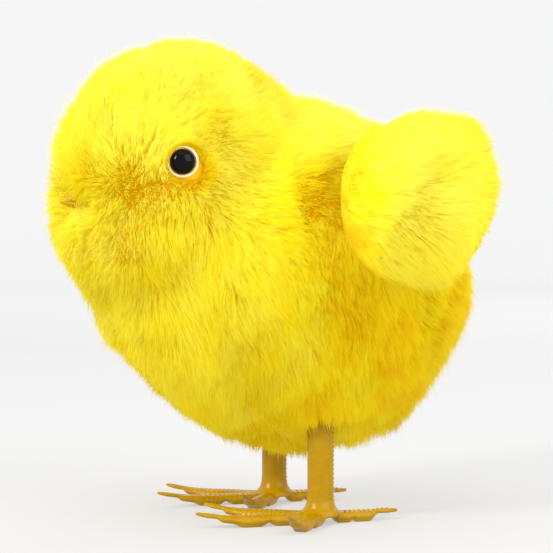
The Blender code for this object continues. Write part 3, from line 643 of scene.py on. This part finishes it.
FUR = fur_material("yellow_pile")
# The backing glows orange: painted light that lifts the shade down between the strands.
SKIN = mottled(
    "backing_cloth", (0.90, 0.50, 0.003), (0.95, 0.60, 0.006), 700.0, 0.9, 0.5,
    Emission_Color=(1.0, 0.5, 0.0, 1.0), Emission_Strength=0.3,
)
AMBER = mottled(
    "amber_moulding", (0.34, 0.185, 0.0), (0.43, 0.245, 0.0), 220.0, 0.24, 0.2, 2500.0, 0.00006,
    Specular_IOR_Level=0.17,
)
BEAK = mottled(
    "beak_moulding", (0.50, 0.29, 0.0), (0.60, 0.38, 0.0), 500.0, 0.5, 0.3, 3000.0,
    Specular_IOR_Level=0.2,
)
BLACK = mottled("eye_bead", (0.002, 0.001, 0.002), None, 300.0, 0.04, 0.01, Specular_IOR_Level=0.13)
CREAM = mottled("eye_rim", (0.90, 0.80, 0.55), (0.98, 0.92, 0.72), 900.0, 0.4, 0.2)
WHITE = mottled("shell_moulding", (0.75, 0.75, 0.72), None, 300.0, 0.42, 0.2)
NYLON = mottled("gear_nylon", (0.78, 0.76, 0.68), None, 500.0, 0.5, 0.2)
STEEL = mottled("bright_steel", (0.55, 0.55, 0.56), None, 900.0, 0.28, 0.2, Metallic=1.0)
SLOT_MATERIALS = {
    "yellow_plush": FUR, "amber_plastic": AMBER, "black_plastic": BLACK, "cream_plastic": CREAM,
    "white_plastic": WHITE, "steel": STEEL, "nylon": NYLON,
}


def paint_frame():
    """Gives each CAD node that still shows the better material of its slot."""
    for row in frame["record"]["subparts"]:
        mesh = NODES[row["node"]].data
        mesh.materials.clear()
        mesh.materials.append(SLOT_MATERIALS[row["material_slot"]])


# ------------------------------------------------------------------ hard pieces


def turned_mesh(name, profile, segments, matrix):
    """A surface of revolution about local X from (x, radius) rows in mm. A radius of 0 is a pole."""
    rings, points = [], []
    for x, radius in profile:
        if radius == 0.0:
            rings.append([len(points)])
            points.append((x, 0.0, 0.0))
            continue
        rings.append(list(range(len(points), len(points) + segments)))
        for j in range(segments):
            angle = 2.0 * pi * j / segments
            points.append((x, radius * cos(angle), radius * sin(angle)))
    faces = []
    for first, second in zip(rings, rings[1:]):
        for j in range(segments):
            k = (j + 1) % segments
            if len(first) == 1:
                faces.append((first[0], second[j], second[k]))
            elif len(second) == 1:
                faces.append((first[j], second[0], first[k]))
            else:
                faces.append((first[j], second[j], second[k], first[k]))
    mesh = mesh_of(name, [matrix @ Vector(p) * MM for p in points], faces)
    shape = bmesh.new()
    shape.from_mesh(mesh)
    bmesh.ops.recalc_face_normals(shape, faces=shape.faces[:])
    shape.to_mesh(mesh)
    shape.free()
    mesh.shade_smooth()
    return mesh


DOME_RISE, DOME_RADIUS, DOME_STEPS = 1.7, 2.45, 16
RING_RADIUS, RING_STEPS, EYE_SEGMENTS = 2.83, 20, 48


def build_eyes():
    """A domed black bead on a stem, and the cream ring round it, on each side."""
    for name, side in (("left_eye", 1), ("right_eye", -1)):
        matrix = Matrix.Translation(Vector(EYE_MIDDLE)) @ Matrix.Rotation(-EYE_TURN, 4, "Z")
        if side < 0:
            matrix = Matrix.Scale(-1.0, 4, (1.0, 0.0, 0.0)) @ matrix
        bead = [(-9.0, 0.0), (-9.0, 1.0), (-0.8, 1.0), (-0.6, 2.1)]
        for i in range(DOME_STEPS):
            angle = 0.5 * pi * i / DOME_STEPS
            bead.append((DOME_RISE * sin(angle), DOME_RADIUS * cos(angle)))
        bead.append((DOME_RISE, 0.0))
        mesh = turned_mesh(name + "_bead", bead, EYE_SEGMENTS, matrix)
        piece(mesh.name, mesh, BLACK, "body", (name,))
        ring = []
        for i in range(RING_STEPS + 1):
            angle = 2.0 * pi * i / RING_STEPS
            ring.append((-0.25 + 0.62 * sin(angle), RING_RADIUS + 0.3 * cos(angle)))
        mesh = turned_mesh(name + "_ring", ring, EYE_SEGMENTS, matrix)
        piece(mesh.name, mesh, CREAM, "body", (name + "_rim",))


def remeshed(source, name, voxel, smooth):
    """A fine, even copy of a CAD node's surface."""
    obj = link(bpy.data.objects.new(name, source.data.copy()))
    modifier = obj.modifiers.new("Remesh", "REMESH")
    modifier.mode = "VOXEL"
    modifier.voxel_size = voxel
    if smooth:
        modifier = obj.modifiers.new("Smooth", "SMOOTH")
        modifier.factor, modifier.iterations = 0.5, smooth
    graph = bpy.context.evaluated_depsgraph_get()
    mesh = bpy.data.meshes.new_from_object(obj.evaluated_get(graph))
    bpy.data.objects.remove(obj)
    mesh.name = name
    mesh.materials.clear()
    return mesh


def mesh_arrays(mesh):
    points = np.empty(len(mesh.vertices) * 3, np.float32)
    mesh.vertices.foreach_get("co", points)
    normals = np.empty(len(mesh.vertices) * 3, np.float32)
    mesh.vertices.foreach_get("normal", normals)
    return points.reshape(-1, 3).astype(float) / MM, normals.reshape(-1, 3).astype(float)


def store_points(mesh, points):
    mesh.vertices.foreach_set("co", (points * MM).astype(np.float32).ravel())
    mesh.update()
    mesh.shade_smooth()


LEG_VOXEL, BEAK_VOXEL = 0.00022, 0.00014
TOE_SCALE_PITCH, SERRATION_PITCH = 1.0, 0.9


def build_feet():
    """The moulded legs: scales across the toes and up the leg, and a serrated back edge."""
    for name, side in (("left_leg", 1), ("right_leg", -1)):
        mesh = remeshed(NODES[name], name + "_moulding", LEG_VOXEL, 5)
        points, normals = mesh_arrays(mesh)
        offset = points - np.array((side * SLOT_X, LEG_Y, 0.0))
        radius = np.hypot(offset[:, 0], offset[:, 1])
        low = ease(5.2, 3.4, points[:, 2])
        scale_toe = 0.05 * np.sin(2.0 * pi * radius / TOE_SCALE_PITCH)
        scale_toe *= ease(2.5, 4.0, radius) * ease(20.0, 15.0, radius) * ease(-0.1, 0.5, normals[:, 2])
        back = ease(0.1, 0.75, normals[:, 1])
        serration = 0.24 * (np.abs(np.mod(points[:, 2] / SERRATION_PITCH, 1.0) - 0.5) * 2.0 - 0.3) * back
        angle = np.arctan2(offset[:, 1], offset[:, 0])
        pattern = 0.02 * np.sin(2.0 * pi * points[:, 2] / 1.3) * np.sin(5.0 * angle)
        shift = low * scale_toe + (1.0 - low) * (serration + pattern) * ease(26.0, 22.0, points[:, 2])
        points = points + normals * shift[:, None]
        points[:, 2] = np.maximum(points[:, 2], 0.0)
        store_points(mesh, points)
        piece(name + "_moulding", mesh, AMBER, "legs", (name,))


def build_beak():
    mesh = remeshed(NODES["beak"], "beak_moulding", BEAK_VOXEL, 4)
    mesh.shade_smooth()
    piece("beak_moulding", mesh, BEAK, "body", ("beak",))


def build_skin():
    """The backing of the body, open where the legs swing."""
    points, faces = envelope_grid(80, 120, SKIN_DEPTH)
    middles = np.array([points[list(face)].mean(0) for face in faces])
    kept = [face for face, open_here in zip(faces, in_slot(middles, 0.0)) if not open_here]
    mesh = mesh_of("backing_skin", points * MM, kept)
    piece("backing_skin", mesh, SKIN, "body")


def build_wing_skin(side, name):
    turn, middle = wing_matrix(side)
    points, faces = [], []
    rings, segments = 24, 40
    for i in range(rings + 1):
        tilt = pi * i / rings
        for j in range(segments):
            angle = 2.0 * pi * j / segments
            points.append((cos(tilt), sin(tilt) * cos(angle), sin(tilt) * sin(angle)))
    points = np.array(points) * WING_SKIN @ turn.T + middle
    for i in range(rings):
        faces += ring_quads(i, segments)
    mesh = mesh_of(name, points * MM, faces)
    shape = bmesh.new()
    shape.from_mesh(mesh)
    bmesh.ops.remove_doubles(shape, verts=shape.verts[:], dist=0.00001)
    bmesh.ops.recalc_face_normals(shape, faces=shape.faces[:])
    shape.to_mesh(mesh)
    shape.free()
    mesh.shade_smooth()
    piece(name, mesh, SKIN, "body")


def build_plush():
    build_skin()
    grown = grow_body(BODY_STRANDS)
    places, normals = grown[0], grown[4]
    region = np.where(
        (places[:, 2] > 66.0) & (places[:, 1] < 4.0), "head",
        np.where(places[:, 1] < -6.0, "chest", np.where(places[:, 2] < 46.0, "belly", "back")),
    )
    split_pieces("pile", grown, region, FUR, ("plush_cover",))
    for name, side in (("left_wing", 1), ("right_wing", -1)):
        build_wing_skin(side, name + "_skin")
        grown = grow_wing(side, WING_STRANDS)
        region = np.full(len(grown[0]), "pad")
        split_pieces(name + "_pile", grown, region, FUR, (name,))


# ------------------------------------------------------------------ stage


FLOOR_RADIUS, WALL_TURN, WALL_HEIGHT, FLOOR_DROP = 1.4, 0.6, 2.0, 0.00002
GLOW_SCALE = 0.6
GLOW_STOPS = ((0.06, 0.475), (0.3, 0.475), (0.6, 0.60), (0.9, 0.65))


def build_stage():
    """A round floor that turns up into a wall far behind, evenly bright."""
    rows = [(0.0, 0.0), (0.3, 0.0), (0.8, 0.0), (FLOOR_RADIUS, 0.0)]
    steps = 10
    for i in range(1, steps + 1):
        angle = 0.5 * pi * i / steps
        rows.append((FLOOR_RADIUS + WALL_TURN * sin(angle), WALL_TURN - WALL_TURN * cos(angle)))
    rows.append((FLOOR_RADIUS + WALL_TURN, WALL_HEIGHT))
    segments = 64
    points, faces = [(0.0, 0.0, 0.0)], []
    for radius, height in rows[1:]:
        for j in range(segments):
            angle = 2.0 * pi * j / segments
            points.append((radius * cos(angle), radius * sin(angle), height - FLOOR_DROP))
    for j in range(segments):
        faces.append((0, 1 + j, 1 + (j + 1) % segments))
    for i in range(len(rows) - 2):
        low, high = 1 + i * segments, 1 + (i + 1) * segments
        for j in range(segments):
            k = (j + 1) % segments
            faces.append((low + j, high + j, high + k, low + k))
    obj = link(bpy.data.objects.new("studio_floor", mesh_of("studio_floor", points, faces)))
    material, tree, shader = new_material("studio_white", Roughness=0.9)
    shader.inputs["Base Color"].default_value = (0.25, 0.25, 0.25, 1.0)
    shader.inputs["Specular IOR Level"].default_value = 0.0
    shader.inputs["Emission Strength"].default_value = 1.0
    place = add_node(tree, "ShaderNodeTexCoord")
    scaled = add_node(tree, "ShaderNodeVectorMath", operation="SCALE")
    scaled.inputs["Scale"].default_value = GLOW_SCALE
    tree.links.new(place.outputs["Object"], scaled.inputs[0])
    length = add_node(tree, "ShaderNodeVectorMath", operation="LENGTH")
    tree.links.new(scaled.outputs[0], length.inputs[0])
    spread = ramp_of(tree, [(share, (level,) * 3) for share, level in GLOW_STOPS])
    tree.links.new(length.outputs["Value"], spread.inputs[0])
    tree.links.new(spread.outputs[0], shader.inputs["Emission Color"])
    obj.data.materials.append(material)


def area_light(name, place, target, size, power, colour=(1.0, 1.0, 1.0)):
    data = bpy.data.lights.new(name, "AREA")
    data.shape, data.size, data.size_y = "RECTANGLE", *size
    data.energy, data.color = power, colour
    lamp = link(bpy.data.objects.new(name, data))
    lamp.location = place
    lamp.visible_camera = False
    lamp.rotation_euler = (Vector(target) - Vector(place)).to_track_quat("-Z", "Y").to_euler()


def build_lights():
    world = bpy.data.worlds.new("soft_room")
    world.use_nodes = True
    world.node_tree.nodes["Background"].inputs["Color"].default_value = (1.0, 1.0, 1.0, 1.0)
    world.node_tree.nodes["Background"].inputs["Strength"].default_value = 1.0
    bpy.context.scene.world = world
    target = (0.0, 0.0, 0.05)
    area_light("key", (0.30, -0.76, 0.47), target, (0.15, 0.32), 6.8, (1.0, 0.99, 0.97))
    area_light("top", (0.1, -0.1, 0.9), target, (0.8, 0.8), 2.2)
    area_light("fill", (0.75, 0.45, 0.48), target, (0.8, 0.8), 6.0)
    area_light("rear", (-0.55, 0.5, 0.6), target, (0.6, 0.6), 2.6)


CAMERA_AZIMUTH, CAMERA_DISTANCE = radians(72.0), 0.4
CAMERA_LENS, CAMERA_HEIGHT = 126.8, 0.062
AIM = Vector((0.0, 0.00365, 0.0488))


def build_camera():
    data = bpy.data.cameras.new("photo_view")
    data.sensor_width, data.lens = 36.0, CAMERA_LENS
    data.clip_start, data.clip_end = 0.01, 20.0
    camera = link(bpy.data.objects.new("photo_view", data))
    back = Vector((sin(CAMERA_AZIMUTH), -cos(CAMERA_AZIMUTH), 0.0))
    camera.location = Vector((AIM.x, AIM.y, CAMERA_HEIGHT)) + back * CAMERA_DISTANCE
    camera.rotation_euler = (AIM - camera.location).to_track_quat("-Z", "Y").to_euler()
    bpy.context.scene.camera = camera


paint_frame()
build_camera()
build_lights()
build_stage()
build_feet()
build_beak()
build_eyes()
build_plush()
bpy.context.scene.view_settings.view_transform = "Standard"
